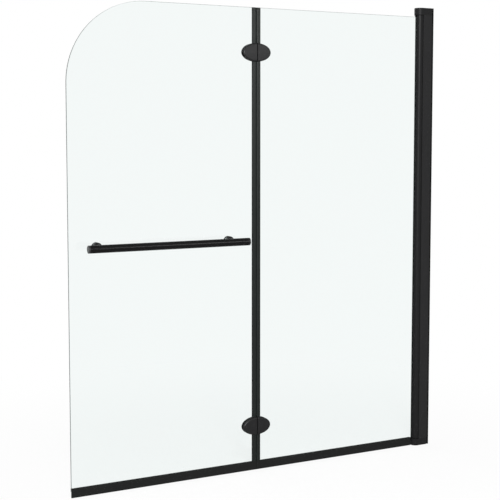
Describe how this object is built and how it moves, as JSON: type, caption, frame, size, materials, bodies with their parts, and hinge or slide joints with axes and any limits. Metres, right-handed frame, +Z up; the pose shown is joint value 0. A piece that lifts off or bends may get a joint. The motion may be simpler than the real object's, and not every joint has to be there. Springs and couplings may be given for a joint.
{
  "type": "folding shower door",
  "caption": "Frameless folding bath screen: a hinged glass panel with a round top corner and a rail folds against a panel that swings on a black wall profile.",
  "frame": {"origin": "on the wall face, at the level of the bath rim, in the middle of the wall channel's width", "axes": "+X into the wall, so the screen reaches out along -X; -Y towards the room and +Y over the bath; +Z up along the wall profile"},
  "size_m": [1.2, 0.0822, 1.4],
  "materials": {
    "black_profile": "matt black powder coat on extruded aluminium",
    "black_hardware": "matt black coated brass and zinc fittings",
    "black_caps": "matt black moulded plastic",
    "clear_glass": "clear toughened glass with ground edges",
    "black_seal": "smooth black flexible PVC",
    "black_pad": "black EPDM sheet",
    "nylon_washer": "translucent white nylon",
    "nylon_bush": "black nylon",
    "steel": "stainless steel",
    "black_screws": "black coated stainless steel"
  },
  "bodies": {
    "wall_mount": {"wall_channel": "black_profile"},
    "adjuster": {"adjusting_sleeve": "black_profile", "bottom_cap": "black_caps", "top_cap": "black_caps", "cap_screws": "black_screws", "adjusting_screws": "black_screws", "adjusting_nuts": "steel", "lower_pivot_pin": "steel", "upper_pivot_pin": "steel"},
    "inner_panel": {"barrel_gasket": "black_seal", "inner_edge_seal_lower": "black_seal", "inner_edge_seal_middle": "black_seal", "inner_edge_seal_upper": "black_seal", "inner_foot_seal": "black_seal", "inner_glass": "clear_glass", "inner_hinge_screws": "black_screws", "lower_bush": "nylon_bush", "lower_hinge_inner_front_plate": "black_hardware", "lower_hinge_inner_pads": "black_pad", "lower_hinge_inner_rear_leaf": "black_hardware", "pivot_barrel": "black_profile", "upper_bush": "nylon_bush", "upper_hinge_inner_front_plate": "black_hardware", "upper_hinge_inner_pads": "black_pad", "upper_hinge_inner_rear_leaf": "black_hardware"},
    "outer_panel": {"lower_hinge_outer_front_plate": "black_hardware", "lower_hinge_outer_pads": "black_pad", "lower_hinge_outer_rear_leaf": "black_hardware", "lower_hinge_pin": "steel", "outer_edge_seal_lower": "black_seal", "outer_edge_seal_middle": "black_seal", "outer_edge_seal_upper": "black_seal", "outer_foot_seal": "black_seal", "outer_glass": "clear_glass", "outer_hinge_screws": "black_screws", "rail_bolts": "black_screws", "rail_left_plug": "black_caps", "rail_left_post": "black_hardware", "rail_left_rear_cap": "black_hardware", "rail_left_washers": "nylon_washer", "rail_right_plug": "black_caps", "rail_right_post": "black_hardware", "rail_right_rear_cap": "black_hardware", "rail_right_washers": "nylon_washer", "rail_tube": "black_hardware", "upper_hinge_outer_front_plate": "black_hardware", "upper_hinge_outer_pads": "black_pad", "upper_hinge_outer_rear_leaf": "black_hardware", "upper_hinge_pin": "steel"}
  },
  "joints": [
    {"name": "width_adjustment", "type": "slide", "parent": "wall_mount", "child": "adjuster", "axis": [-1, 0, 0], "range_m": [-0.003, 0.01]},
    {"name": "screen_swing", "type": "hinge", "parent": "adjuster", "child": "inner_panel", "pos_m": [-0.0424, 0, 0.7], "axis": [0, 0, 1], "range_deg": [-45, 85]},
    {"name": "panel_fold", "type": "hinge", "parent": "inner_panel", "child": "outer_panel", "pos_m": [-0.6242, 0.012, 0.7], "axis": [0, 0, -1], "range_deg": [0, 180]}
  ]
}
